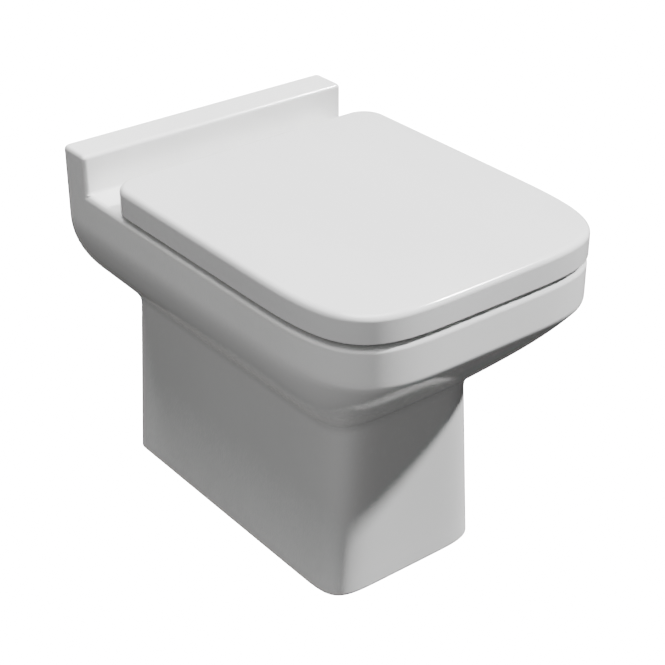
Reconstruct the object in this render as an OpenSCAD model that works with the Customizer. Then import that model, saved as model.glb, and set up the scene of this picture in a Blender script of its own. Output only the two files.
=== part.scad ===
// Back to wall toilet: a china pan with a full width ledge against the wall,
// a square seat and a wrap over lid on soft closing hinges that lift off.
// x runs across, y runs back to the wall and z runs up from the floor.

/* [Pan] */
// Width over the rim and over the ledge
pan_w = 362; // [350:1:376]
// Depth from the wall to the front of the rim
pan_d = 518; // [505:1:540]
// Height of the rim and of the deck behind it
rim_h = 393; // [385:1:405]
// Height of the upright band round the rim
band_h = 48; // [40:1:54]
// Rounding of the top edge of the rim
rim_r = 7; // [4:0.5:9]
// Distance from the wall at which the sides begin to curve in
side_d = 297; // [280:1:310]
// Squareness of the front corners of the rim
rim_power = 5; // [4:0.1:6]
// Upright rear corners
rear_r = 8; // [4:0.5:12]
// Height over the edge of the band at which the sides begin to draw in
side_start = 10; // [6:1:14]
// Height over which the sides bend inward
side_bend = 82; // [74:1:90]
// Lean of the sides below that bend, run for each unit of fall
side_lean = 0.9; // [0.86:0.01:0.93]
// Height of the rounding of the band's lower edge at the front
front_bend = 14; // [8:1:20]
// Lean of the underside at the front, run for each unit of fall
front_lean = 0.87; // [0.84:0.01:0.9]
// How much the underside at the front curves, per millimetre
front_curve = 0.0009; // [0.0006:0.0001:0.0012]
// Squareness of the corners of the underside
under_power = 6; // [5.5:0.1:6.5]
// Wall of the china
wall = 11; // [9:0.5:12]
// Thickness of the deck
deck_t = 14; // [12:0.5:17]

/* [Ledge] */
// Height of the top of the ledge
ledge_h = 440; // [430:1:455]
// Depth of the ledge
ledge_d = 45; // [40:1:52]
// Rounding of its edges
ledge_r = 6; // [3:0.5:8]
// Hollow between ledge and deck
cove_r = 4; // [2:0.5:6]

/* [Pedestal] */
// Width of the foot on the floor
foot_w = 216; // [210:1:224]
// Width of the pedestal where it meets the underside
neck_w = 189; // [184:1:196]
// Depth of the foot from the wall
foot_d = 401; // [396:1:406]
// Height at which the pedestal meets the underside
neck_h = 219; // [212:1:224]
// Squareness of the pedestal's front corners
foot_power = 7; // [6:0.1:8]
// Blend between pedestal and underside
neck_blend = 14; // [8:1:18]
// Rounding of the edge on the floor
foot_r = 2; // [1:0.5:4]
// Width of the two fixing lugs inside the foot
lug_w = 34; // [30:1:40]
// Height of the lugs
lug_h = 16; // [12:1:20]
// Floor fixing hole
lug_hole = 9; // [7:0.5:11]
// Distance of the fixing holes from the wall
lug_d = 70; // [50:1:90]
// Distance between the fixing holes
lug_span = 150; // [146:1:154]

/* [Bowl] */
// Half the width of the opening
bowl_w = 118; // [112:1:122]
// Rear edge of the opening from the wall
bowl_rear = 165; // [160:1:172]
// Front edge of the opening from the wall
bowl_front = 478; // [470:1:482]
// Radius of the rear corners of the opening
bowl_r = 88; // [70:1:100]
// Depth of the lip that hides the flush channel
lip_h = 42; // [36:1:46]
// Thickness of the lip
lip_t = 9; // [7:0.5:10]
// Rounding of the upper edge of the opening
opening_r = 5; // [3:0.5:7]
// Width of the flush channel behind the lip
channel_w = 9; // [7:0.5:10]
// Height of the bottom of the sump
sump_h = 88; // [84:1:96]
// Half the width of the sump
sump_w = 40; // [36:1:44]
// Rear of the sump from the wall
sump_rear = 236; // [232:1:240]
// Front of the sump from the wall
sump_front = 312; // [304:1:320]

/* [Outlet and inlet] */
// Height of the centre of the outlet
outlet_h = 180; // [175:1:185]
// Outside of the outlet spigot
outlet_od = 102; // [98:0.5:104]
// Wall of the spigot and of the trap
trap_wall = 8; // [7:0.5:9]
// Gap between the spigot and the wall behind
outlet_gap = 40; // [30:1:45]
// Height of the crest that holds the water back
weir_h = 188; // [184:1:192]
// Distance of that crest from the wall
weir_d = 130; // [126:1:134]
// Half the height of the passage at the crest
throat_h = 27; // [25:0.5:28]
// Half its width there
throat_w = 41; // [38:0.5:43]
// Height of the centre of the flush inlet
inlet_h = 335; // [330:1:338]
// Bore of the flush inlet
inlet_bore = 55; // [50:0.5:58]
// Outside of the inlet boss
inlet_od = 76; // [72:1:80]
// Gap between the inlet boss and the wall behind
inlet_gap = 60; // [50:1:80]
// Bore from the inlet into the flush channel
channel_bore = 44; // [40:1:46]

/* [Lid] */
// Clear height between rim and lid
lid_gap = 4; // [3:0.5:5]
// Height of the lid
lid_h = 32; // [30:0.5:35]
// How far the lid reaches past the rim
lid_over = 0.5; // [0:0.5:2]
// Rear edge of the lid from the wall
lid_rear = 97.5; // [96.5:0.5:99.5]
// Radius of its rear corners
lid_rear_r = 30; // [24:1:40]
// Rounding of its top edge
lid_r = 7; // [5:0.5:9]
// Thickness of its top
lid_top = 6; // [5:0.5:6]
// Thickness of its skirt
lid_skirt = 5; // [4:0.5:6]
// Crown of its top
lid_crown = 1; // [0.5:0.1:1.5]

/* [Seat] */
// Clearance between seat and skirt
seat_clear = 3; // [2:0.5:4]
// Thickness of the seat ring
seat_t = 17; // [15:0.5:18]
// Height of the buffers under the seat
seat_foot = 6; // [5:0.5:7]
// Rear edge of the seat ring from the wall
seat_rear = 148; // [146:1:152]
// Half the width of the hole
hole_w = 108; // [100:1:112]
// Rear edge of the hole from the wall
hole_rear = 190; // [186:1:200]
// Front edge of the hole from the wall
hole_front = 466; // [455:1:470]

/* [Hinges] */
// Distance between the two fixing holes
hinge_span = 155; // [150:1:160]
// Fixing hole in the deck
hinge_hole = 14; // [12:0.5:16]
// Distance of the hinge axis from the wall
axis_d = 112; // [111:0.5:113]
// Clearance between the hinge barrels and the lid over them
barrel_gap = 0.7; // [0.5:0.1:1]
// Width of a hinge block
block_w = 26; // [25:0.5:28]
// Length of the foot of a hinge block
block_l = 35; // [34:0.5:37]
// Outside of the barrel of a hinge block
barrel_od = 17; // [16:0.2:17.4]
// Outside of a soft closing damper
damper_od = 12; // [11.6:0.1:12.2]
// Length of a damper
damper_l = 17; // [15:0.5:18]
// Damper shafts and pivot pins
pin_d = 8; // [7:0.5:8]
// Outside of a pivot bush
bush_od = 11; // [10:0.5:12]
// Width of a hinge lug
lug_t = 12; // [10:0.5:13]
// Side play between lug and block
lug_play = 0.5; // [0.4:0.1:1]
// Play of a running fit on the diameter
fit = 0.1; // [0.06:0.02:0.16]
// Width of a release button
button_w = 12; // [10:0.5:14]
// Height of a release button
button_h = 4.4; // [4:0.2:4.8]
// Travel of a release button
button_travel = 3; // [2:0.5:3]
// Outside of a button spring
spring_od = 3.6; // [3.2:0.1:3.8]
// Wire of a button spring
spring_wire = 0.5; // [0.4:0.1:0.6]
// Turns of a button spring
spring_turns = 6; // [4:1:7]

/* [Deck fixings] */
// Sealing ring under each base plate
gasket_t = 0.8; // [0.6:0.1:1]
// Thickness of a base plate
plate_t = 2.2; // [2:0.1:2.4]
// Diameter of a base plate
plate_d = 36; // [32:0.5:40]
// Neck of a hinge post
neck_d = 10; // [9:0.5:10]
// Head of a hinge post
head_d = 13; // [12:0.5:13.4]
// Height of a hinge post over its plate
post_h = 6; // [5.6:0.1:6.1]
// Thread of a fixing stud
stud_d = 8; // [6:0.5:8]
// Length of a fixing stud
stud_l = 60; // [50:1:70]
// Rubber washer under the deck
washer_d = 30; // [26:1:34]
// Thickness of the rubber washer
washer_t = 4; // [3:0.5:5]
// Height of a wing nut
nut_h = 11; // [9:0.5:13]
// Span of its wings
nut_span = 36; // [30:1:38]

/* [Hidden] */
$fa = 6;
$fs = 0.5;

// Colours
china = "white";
duroplast = "whitesmoke";
chrome = "silver";
rubber = "dimgray";
moulded = "gainsboro";
steel = "darkgray";

// The wall stands at this y, and every other y is measured from it
wall_y = (pan_d + lid_over) / 2;
band_z = rim_h - band_h;
lid_z = rim_h + lid_gap;
lid_top_z = lid_z + lid_h;
lid_ceiling = lid_top_z - lid_crown - lid_top;
axis_z = lid_ceiling - barrel_gap - barrel_od / 2;
eps = 0.5;                            // overlap of joined solids
front_steps = 22;                     // points round a front curve
rear_steps = 6;                       // points round a rear corner

function smooth_max(a, b, k) = let(h = max(k - abs(a - b), 0) / k) max(a, b) + h * h * k / 4;
function mix(a, b, t) = a + (b - a) * min(1, max(0, t));
function rooted(v, power) = sign(v) * pow(abs(v), 2 / power);

// How far a face draws in below an edge: first in an arc, then straight
function drawn_in(fall, lean, bend) =
    lean * (fall < bend ? pow(max(0, fall), 2) / (2 * bend) : fall - bend / 2);

// Half the width of the outside of the pan at a height
function side_of_pan(z) = pan_w / 2 - drawn_in(band_z + side_start - z, side_lean, side_bend);
function side_of_foot(z) = mix(foot_w, neck_w, z / neck_h) / 2;
function half_w(z) = min(pan_w / 2, smooth_max(side_of_pan(z), side_of_foot(z), neck_blend));

// Reach of the outside of the pan from the wall at a height
function underside(z) = pan_d - drawn_in(band_z + front_bend / 2 - z, front_lean, front_bend)
    - front_curve * pow(max(0, band_z - z), 2);
function reach(z) = min(pan_d, smooth_max(underside(z), foot_d, neck_blend));
function squareness(z) = z < neck_h ? mix(foot_power, under_power, z / neck_h)
    : mix(under_power, rim_power, (z - band_z + front_bend) / front_bend);

// A ring in plan: straight sides, a squared front curve and two round rear corners
function outline(w, rear, r, side, front, power, z, steps = front_steps, turns = rear_steps) = concat(
    [for (i = [0:steps]) let(a = 180 * i / steps)
        [w * rooted(cos(a), power), -side - (front - side) * rooted(sin(a), power), z]],
    [for (i = [0:turns - 1]) let(a = 90 * i / (turns - 1))
        [-w + r - r * cos(a), -rear - r + r * sin(a), z]],
    [for (i = [0:turns - 1]) let(a = 90 - 90 * i / (turns - 1))
        [w - r + r * cos(a), -rear - r + r * sin(a), z]]);

// A ring in plan with four round corners
function box_ring(w, rear, front, r_rear, r_front, z, turns = 5) =
    let(arc = [for (i = [0:turns - 1]) 90 * i / (turns - 1)]) concat(
    [for (a = arc) [w - r_front * (1 - cos(a)), -front + r_front * (1 - sin(a)), z]],
    [for (a = arc) [-w + r_front * (1 - sin(a)), -front + r_front * (1 - cos(a)), z]],
    [for (a = arc) [-w + r_rear * (1 - cos(a)), -rear - r_rear * (1 - sin(a)), z]],
    [for (a = arc) [w - r_rear * (1 - sin(a)), -rear - r_rear * (1 - cos(a)), z]]);

// Rings of equal count joined in turn: flat ends, or the last ring back to the first
module loft(rings, looped = false) {
    n = len(rings[0]);
    m = len(rings);
    bands = looped ? m : m - 1;
    polyhedron(
        points = [for (ring = rings) each ring],
        faces = concat(
            looped ? [] : [[for (i = [n - 1:-1:0]) i], [for (i = [0:n - 1]) (m - 1) * n + i]],
            [for (j = [0:bands - 1]) for (i = [0:n - 1])
                let(k = (i + 1) % n, a = j * n, b = ((j + 1) % m) * n) each [
                [a + i, a + k, b + i],
                [a + k, b + k, b + i]]]));
}

// A round bar along x, centred on the hinge axis, from one x to another
module bar(d, x0, x1) {
    translate([min(x0, x1), -axis_d, axis_z]) rotate([0, 90, 0]) cylinder(d = d, h = abs(x1 - x0));
}
module upright(d, z0, z1, x, rear) {
    translate([x, -rear, z0]) cylinder(d = d, h = z1 - z0);
}
module to_wall() {
    translate([0, wall_y, 0]) children();
}
// Puts a piece over the left (-1) or the right (1) fixing hole
module on_side(side) {
    to_wall() translate([side * hinge_span / 2, 0, 0]) children();
}

// Outside of the pan, from the edge on the floor up to the deck
module pan_outside() {
    edge = [for (a = [0:18:90]) [1 - cos(a), sin(a)]];
    foot_edge = [for (a = [90:-30:0]) [1 - cos(a), 1 - sin(a)]];
    mids = concat([neck_h * 0.35, neck_h * 0.7],
        [for (i = [0:10]) mix(neck_h - neck_blend, band_z - front_bend, i / 10)],
        [for (i = [0:5]) mix(band_z - front_bend / 2, band_z + side_start, i / 5)]);
    loft(concat(
        [for (p = foot_edge) outline(half_w(0) - p[0] * foot_r, 0, rear_r, side_d,
            reach(0) - p[0] * foot_r, foot_power, p[1] * foot_r)],
        [for (z = mids) outline(half_w(z), 0, rear_r, side_d, reach(z), squareness(z), z)],
        [for (p = edge) outline(pan_w / 2 - p[0] * rim_r, 0, rear_r, side_d, pan_d - p[0] * rim_r,
            rim_power, rim_h - rim_r + p[1] * rim_r)]));
}

// The upright ledge, with a hollow into the deck and rounded top edges
module ledge() {
    cove = [for (a = [0:22.5:90]) [1 - sin(a), 1 - cos(a)]];
    top = [for (a = [0:18:90]) [sin(a), 1 - cos(a)]];
    loft(concat(
        [box_ring(pan_w / 2, 0, ledge_d + cove_r, rear_r, 1, rim_h - rim_r)],
        [for (p = cove) box_ring(pan_w / 2, 0, ledge_d + cove_r * p[0], rear_r, mix(ledge_r, 1, p[0]),
            rim_h + cove_r * p[1])],
        [for (p = top) box_ring(pan_w / 2 - ledge_r * p[1], ledge_r * p[1] / 2, ledge_d - ledge_r * p[1],
            rear_r, ledge_r, ledge_h - ledge_r + ledge_r * p[0])]));
}

// Inside of the bowl at a height, from under the lip down to the sump
lip_z = rim_h - lip_h;
channel_z = rim_h - deck_t - 3;
sump_edge = 3;                        // rounding round the floor of the sump
opening_power = 3.2;                  // squareness of the front of the opening
bowl_top_w = bowl_w + lip_t + channel_w;
bowl_top_rear = bowl_rear - lip_t - channel_w;
bowl_top_front = bowl_front + lip_t + channel_w;
bowl_levels = [for (i = [0:12]) mix(sump_h + sump_edge, lip_z, i / 12)];
function depth(z) = min(1, max(0, (lip_z - z) / (lip_z - sump_h)));
function bowl_ring(z, grow, steps, turns) = let(t = depth(z)) outline(
    mix(sump_w, bowl_top_w, pow(1 - t * t, 2.5)) + grow,
    mix(bowl_top_rear, sump_rear, pow(t, 0.8)) - grow,
    mix(bowl_r, sump_w - 2, t) + grow,
    mix(side_d, (sump_rear + sump_front) / 2, t),
    mix(sump_front, bowl_top_front, pow(1 - t, 1.55)) + grow,
    mix(opening_power, 2, t), z, steps, turns);

module bowl_skin() {
    low = bowl_ring(sump_h + sump_edge, wall, 16, 5);
    loft(concat(
        [[for (p = low) [p[0], p[1], sump_h - wall]]],
        [for (z = bowl_levels) bowl_ring(z, wall, 16, 5)],
        [bowl_ring(rim_h - deck_t + eps, wall, 16, 5)]));
}

// Bowl, flush channel behind the lip, and opening
module bowl_space() {
    half = lip_t / 2;
    under_lip = [for (a = [0:45:180]) [half + half * cos(a), lip_z + half - half * sin(a)]];
    edge = [for (a = [0:22.5:90]) [opening_r * (1 - cos(a)), rim_h - opening_r + opening_r * sin(a)]];
    loft(concat(
        [bowl_ring(sump_h, -2 * sump_edge, front_steps, rear_steps)],
        [for (z = bowl_levels) bowl_ring(z, 0, front_steps, rear_steps)],
        [bowl_ring(channel_z, 0, front_steps, rear_steps)],
        [for (p = concat([[lip_t, channel_z]], under_lip, edge, [[opening_r, rim_h + 1]]))
            outline(bowl_w + p[0], bowl_rear - p[0], bowl_r + p[0], side_d, bowl_front + p[0], opening_power,
                p[1])]));
}

// Open back and underside of the pan
module cavity() {
    drop = wall / 2;
    levels = concat([-1, 30, neck_h * 0.7], [for (t = [0:0.2:1]) mix(neck_h, band_z, t)], [rim_h - deck_t]);
    loft([for (z = levels) let(from = max(0, z - drop))
        outline(half_w(from) - wall, -1, 1, side_d, min(reach(from) - wall, foot_d + 8), rim_power, z, 14, 2)]);
    translate([-pan_w / 2 + wall + 3, -ledge_d + wall, rim_h - deck_t - eps])
        cube([pan_w - 2 * wall - 6, ledge_d - 2 * wall, ledge_h - wall - rim_h + deck_t]);
}

// Stations of the trap: distance from the wall, height, pitch, half height and half width
outlet_r = outlet_od / 2 - trap_wall;
spigot_d = outlet_gap + 30;           // where the spigot begins
turn_r = throat_h + trap_wall + 3;    // radius of the turn over the crest
trap = concat([
    [sump_rear + 50, sump_h + 24, 0, throat_h - 5, throat_w - 9],
    [sump_rear + 8, sump_h + 25, 4, throat_h - 3, throat_w - 5],
    [sump_rear - 32, sump_h + 30, 32, throat_h - 1, throat_w - 2]],
    [for (pitch = [50, 25, 0, -22, -42])
        [weir_d + turn_r * sin(pitch), weir_h + throat_h - turn_r * (1 - cos(pitch)), pitch, throat_h, throat_w]],
    [[outlet_gap + 52, outlet_h + 11, -24, throat_h + 6, outlet_r],
    [outlet_gap + 40, outlet_h + 2, -8, throat_h + 14, outlet_r],
    [spigot_d, outlet_h, 0, outlet_r - eps, outlet_r - eps]]);
function trap_ring(s, grow) = [for (a = [7.5:15:352.5]) let(up = (s[3] + grow) * sin(a))
    [(s[4] + grow) * cos(a), -s[0] - up * sin(s[2]), s[1] + up * cos(s[2])]];

module along_y(d, from, to, z) {
    translate([0, -from, z]) rotate([90, 0, 0]) cylinder(d = d, h = to - from);
}

module floor_lug() {
    reach_in = (lug_span + lug_w) / 2;
    translate([lug_span / 2 - lug_w / 2, -lug_d - lug_w / 2, 0])
        cube([side_of_foot(0) - wall + eps - lug_span / 2 + lug_w / 2, lug_w, lug_h]);
}

// All of the china but the spigot and the round holes
module casting() difference() {
    union() {
        difference() {
            union() {
                pan_outside();
                ledge();
            }
            cavity();
        }
        bowl_skin();
        loft([for (i = [1:len(trap) - 1]) trap_ring(trap[i], trap_wall)]);
        floor_lug();
        mirror([1, 0, 0]) floor_lug();
    }
    bowl_space();
    loft([for (s = trap) trap_ring(s, 0)]);
}

module pan() color(china) to_wall() difference() {
    union() {
        resize([0, 0, 0]) casting();
        along_y(outlet_od, outlet_gap, spigot_d + 1, outlet_h);
    }
    along_y(2 * outlet_r, outlet_gap - 1, spigot_d + 1, outlet_h);
    along_y(channel_bore, bowl_top_rear - wall - 20, bowl_top_rear + channel_w, inlet_h);
    for (side = [-1, 1]) {
        upright(hinge_hole, rim_h - deck_t - 1, rim_h + 1, side * hinge_span / 2, axis_d);
        upright(lug_hole, -1, lug_h + 1, side * lug_span / 2, lug_d);
    }
}

// Horn for the flush pipe, set on the back of the bowl, with a shoulder in front of its narrower bore
module inlet_horn() color(china) to_wall() difference() {
    along_y(inlet_od, inlet_gap, bowl_rear, inlet_h);
    along_y(inlet_bore, inlet_gap - 1, bowl_top_rear - wall, inlet_h);
    along_y(channel_bore, inlet_gap - 1, bowl_rear + 1, inlet_h);
    resize([0, 0, 0]) bowl_skin();
}

// The lid
turn_clear = 0.8;                     // clearance over the deck when the lid turns
sweep_r = axis_z - rim_h - turn_clear; // what turns down past the deck stays within this
lug_in = block_w / 2 + lug_play;      // near face of a lug from the middle of its block
notch_w = lug_in + lug_t + 2;         // half the width of the notch over each hinge
notch_top = lid_ceiling + lid_top * 0.45;

function lid_ring(inset, z) =
    outline(pan_w / 2 + lid_over - inset, lid_rear + inset, max(2, lid_rear_r - inset), side_d,
        pan_d + lid_over - inset, rim_power, z);

module lid_shell() {
    edge = [for (a = [0:15:90]) [1 - cos(a), sin(a)]];
    under = lid_top_z - lid_crown - lid_r;
    loft(concat(
        [lid_ring(lid_skirt + 4, lid_ceiling), lid_ring(lid_skirt + 1, lid_ceiling - 1),
            lid_ring(lid_skirt, lid_ceiling - 4), lid_ring(lid_skirt, lid_z + 1),
            lid_ring(lid_skirt - 1, lid_z), lid_ring(1, lid_z), lid_ring(0, lid_z + 1)],
        [for (p = edge) lid_ring(lid_r * p[0], under + lid_r * p[1])],
        [lid_ring(lid_r + 22, mix(lid_top_z - lid_crown, lid_top_z, 0.5)),
            lid_ring(lid_r + 60, mix(lid_top_z - lid_crown, lid_top_z, 0.9)),
            lid_ring(lid_r + 100, lid_top_z)]));
}

// The rear edge is rounded about the axis, so that it turns clear of the deck
module rear_relief() {
    difference() {
        translate([-pan_w, -axis_d, lid_z - 1]) cube([2 * pan_w, axis_d, axis_z - lid_z + 1]);
        bar(2 * sweep_r, -pan_w - 1, pan_w + 1);
    }
}

// A lug round the axis, joined to the top of the lid in front of the notch
lug_od = barrel_od - 0.6;
lid_lug_l = 24;                       // its length along the lid
module lid_lug(near, far) {
    x0 = min(near, far);
    bar(lug_od, near, far);
    translate([x0, -axis_d - lid_lug_l, axis_z - 2])
        cube([abs(far - near), lid_lug_l, lid_ceiling + eps - axis_z + 2]);
    translate([x0, -axis_d - 1, axis_z])
        cube([abs(far - near), barrel_od / 2, notch_top + eps - axis_z]);
}

module lid() color(duroplast) to_wall() difference() {
    union() {
        difference() {
            lid_shell();
            rear_relief();
            for (side = [-1, 1])
                translate([side * hinge_span / 2 - notch_w, -axis_d, lid_z - 1])
                    cube([2 * notch_w, axis_d, notch_top - lid_z + 1]);
        }
        for (side = [-1, 1]) translate([side * hinge_span / 2, 0, 0])
            lid_lug(side * lug_in, side * (lug_in + lug_t));
    }
    translate([-hinge_span / 2, 0, 0]) bar(pin_d + fit, -lug_in + 1, -lug_in - lug_t + 2);
    translate([hinge_span / 2, 0, 0]) bar(bush_od + fit, lug_in - 1, lug_in + lug_t + 1);
}

// The seat ring
seat_z = rim_h + seat_foot;
seat_top = seat_z + seat_t;
seat_w = pan_w / 2 + lid_over - lid_skirt - seat_clear;
seat_d = pan_d + lid_over - lid_skirt - seat_clear;

// Profiles of the ring, as inset and height: its outer edge going up and its hole going down
seat_edge = [[2, 0], [0.4, 0.8], [0, 3], [0, seat_t - 6], [0.6, seat_t - 3], [2.4, seat_t - 0.8],
    [5.5, seat_t]];
seat_hole = [[22, seat_t], [12, seat_t - 1], [5, seat_t - 3.4], [1.4, seat_t - 6.6], [0, seat_t - 10],
    [0, 3], [2.5, 0]];
seat_rear_r = 26;                     // rear corners of the ring
hole_power = 2.8;                     // squareness of the front of its hole

module seat_body() {
    loft(concat(
        [for (p = seat_edge) outline(seat_w - p[0], seat_rear + p[0], seat_rear_r - p[0], side_d,
            seat_d - p[0], rim_power, seat_z + p[1])],
        [for (p = seat_hole) outline(hole_w + p[0], hole_rear - p[0], hole_w - 24 + p[0], side_d,
            hole_front + p[0], hole_power, seat_z + p[1])]), looped = true);
}

module seat_lug(near, far) {
    bar(lug_od, near, far);
    translate([min(near, far), -seat_rear - 6, seat_z + 2])
        cube([abs(far - near), seat_rear + 6 - axis_d, seat_t - 5]);
}

module seat_ring() color(duroplast) to_wall() difference() {
    union() {
        seat_body();
        for (side = [-1, 1]) translate([side * hinge_span / 2, 0, 0])
            seat_lug(-side * lug_in, -side * (lug_in + lug_t));
    }
    translate([-hinge_span / 2, 0, 0]) bar(bush_od + fit, lug_in - 1, lug_in + lug_t + 1);
    translate([hinge_span / 2, 0, 0]) bar(pin_d + fit, -lug_in + 1, -lug_in - lug_t + 2);
}

// Oval pads, at each side and at the front
pads = [[0.5 * (seat_w + bowl_w), 235, 0], [0.5 * (seat_w + bowl_w) - 1, 385, 0]];
module pad(length, width, h) {
    linear_extrude(h) {
        square([width, length - width], center = true);
        for (y = [-1, 1]) translate([0, y * (length - width) / 2]) circle(d = width);
    }
}
module pads_at(z, length, width, h) to_wall() {
    for (side = [-1, 1]) {
        for (p = pads) translate([side * p[0], -p[1], z]) pad(length, width, h);
    }
}
module seat_buffers() color(rubber) pads_at(rim_h, 34, 14, seat_foot);
module lid_buffers() color(rubber) pads_at(seat_top + 0.2, 22, 12, lid_ceiling - seat_top - 0.2);

// The hinges
plate_z = rim_h + gasket_t;
post_z = plate_z + plate_t;
block_z = post_z + 0.4;               // clear of the base plate
foot_top = post_z + post_h + 2;
socket_top = post_z + post_h + 0.4;
block_rear = axis_d - barrel_od / 2;
button_z = block_z + 1.2;
button_front = block_rear + block_l;
button_proud = button_travel + 0.5;
button_rear = button_front - 13;      // inner end of the button at rest
spring_l = 9;                         // length of its spring at rest

module button_box(grow, from, to) {
    translate([-button_w / 2 - grow, -to, button_z - grow])
        cube([button_w + 2 * grow, to - from, button_h + 2 * grow]);
}

// Barrel and foot in one, with the socket for the post and the button's pocket
pin_in = 6.5;                         // depth of a pivot pin in its block
socket_play = 1;                      // play round the head of the post
module hinge_block(side, damper_out) color(chrome) on_side(side) difference() {
    union() {
        bar(barrel_od, -block_w / 2, block_w / 2);
        translate([-block_w / 2, -button_front, block_z]) cube([block_w, block_l, foot_top - block_z]);
        translate([-block_w / 2, -axis_d - 4, block_z]) cube([block_w, 4 + barrel_od / 2, axis_z - block_z]);
    }
    upright(head_d + socket_play, block_z - 1, socket_top, 0, axis_d);
    bar(damper_od + fit, damper_out * (block_w / 2 + 1), damper_out * (block_w / 2 - damper_l));
    bar(pin_d + fit, -damper_out * (block_w / 2 + 1), -damper_out * (block_w / 2 - pin_in - 0.5));
    button_box(0.3, button_rear - button_travel - 1, button_front + 1);
}

module damper(side, damper_out) color(moulded) on_side(side) difference() {
    bar(damper_od, damper_out * block_w / 2, damper_out * (block_w / 2 - damper_l));
    bar(pin_d + fit, damper_out * (block_w / 2 + 1), damper_out * (block_w / 2 - damper_l + 3));
}

module damper_shaft(side, damper_out) color(steel) on_side(side)
    bar(pin_d, damper_out * (lug_in + lug_t - 2.5), damper_out * (block_w / 2 - damper_l + 3.5));

module pivot_pin(side, damper_out) color(steel) on_side(side) {
    bar(pin_d, -damper_out * (lug_in + lug_t - 0.5), -damper_out * (block_w / 2 - pin_in));
    bar(bush_od, -damper_out * (lug_in + lug_t + 0.3), -damper_out * (lug_in + lug_t + 1.8));
}

module pivot_bush(side, damper_out) color(moulded) on_side(side) difference() {
    bar(bush_od, -damper_out * lug_in, -damper_out * (lug_in + lug_t));
    bar(pin_d + fit, -damper_out * (lug_in - 1), -damper_out * (lug_in + lug_t + 1));
}

module release_button(side) color(chrome) on_side(side) difference() {
    button_box(0, button_rear, button_front + button_proud);
    translate([0, -button_rear + 1, button_z + button_h / 2]) rotate([90, 0, 0])
        cylinder(d = spring_od + 0.4, h = 10);
}

// A wire wound round the y axis
module spring(od, wire, turns, length) {
    sides = 6;
    per_turn = 10;
    r = (od - wire) / 2;
    loft([for (i = [0:turns * per_turn]) let(a = 360 * i / per_turn, y = length * i / (turns * per_turn))
        [for (j = [0:sides - 1]) let(b = 360 * j / sides, k = r + wire / 2 * cos(b))
            [k * cos(a), y + wire / 2 * sin(b), k * sin(a)]]]);
}

module button_spring(side) color(steel) on_side(side)
    translate([0, -button_rear + button_travel + 1 - spring_wire, button_z + button_h / 2]) mirror([0, 1, 0])
        spring(spring_od, spring_wire, spring_turns, spring_l - spring_wire);

// Post with a head that the hinge block is pushed over
head_h = 2.6;
head_bevel = 0.8;
module hinge_post(side) color(chrome) on_side(side) difference() {
    union() {
        upright(neck_d, post_z, post_z + post_h - 1, 0, axis_d);
        upright(head_d, post_z + post_h - head_h, post_z + post_h - head_bevel, 0, axis_d);
        translate([0, -axis_d, post_z + post_h - head_bevel])
            cylinder(d1 = head_d, d2 = head_d - 2 * head_bevel, h = head_bevel);
    }
    upright(stud_d + fit, post_z - 1, post_z + post_h - 1.4, 0, axis_d);
}

module washer(od, bore, z0, z1) {
    difference() {
        upright(od, z0, z1, 0, axis_d);
        upright(bore, z0 - 1, z1 + 1, 0, axis_d);
    }
}

module base_plate(side) color(chrome) on_side(side) washer(plate_d, stud_d + fit, plate_z, post_z);
module hinge_gaskets() color(rubber) for (side = [-1, 1])
    on_side(side) washer(plate_d - 2, hinge_hole, rim_h, plate_z);
stud_top = post_z + post_h - 1.9;
module fixing_studs() color(steel) for (side = [-1, 1])
    on_side(side) upright(stud_d, stud_top - stud_l, stud_top, 0, axis_d);
under_z = rim_h - deck_t - washer_t;
module under_washers() color(rubber) for (side = [-1, 1])
    on_side(side) washer(washer_d, stud_d + 0.4, under_z, rim_h - deck_t);
wing_r = 4;                           // rounding at the ends of a wing
wing_t = 3;
module wing_nut() difference() {
    union() {
        upright(stud_d * 2, under_z - nut_h, under_z, 0, axis_d);
        for (x = [-1, 1])
            translate([x * (nut_span / 2 - wing_r), -axis_d, under_z - nut_h * 0.45]) rotate([90, 0, 0])
                cylinder(r = wing_r, h = wing_t, center = true);
        translate([-nut_span / 2 + wing_r, -axis_d - wing_t / 2, under_z - nut_h * 0.8])
            cube([nut_span - 2 * wing_r, wing_t, nut_h * 0.6]);
    }
    upright(stud_d + fit, under_z - nut_h - 1, under_z + 1, 0, axis_d);
}
module wing_nuts() color(moulded) for (side = [-1, 1]) on_side(side) wing_nut();

pan();
inlet_horn();
seat_ring();
lid();
seat_buffers();
lid_buffers();
hinge_block(-1, -1);  // left_hinge_block
hinge_block(1, -1);  // right_hinge_block
damper(-1, -1);  // left_damper
damper(1, -1);  // right_damper
damper_shaft(-1, -1);  // left_damper_shaft
damper_shaft(1, -1);  // right_damper_shaft
pivot_pin(-1, -1);  // left_pivot_pin
pivot_pin(1, -1);  // right_pivot_pin
pivot_bush(-1, -1);  // left_pivot_bush
pivot_bush(1, -1);  // right_pivot_bush
release_button(-1);  // left_release_button
release_button(1);  // right_release_button
button_spring(-1);  // left_button_spring
button_spring(1);  // right_button_spring
hinge_post(-1);  // left_hinge_post
hinge_post(1);  // right_hinge_post
base_plate(-1);  // left_base_plate
base_plate(1);  // right_base_plate
hinge_gaskets();
fixing_studs();
under_washers();
wing_nuts();
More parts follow.
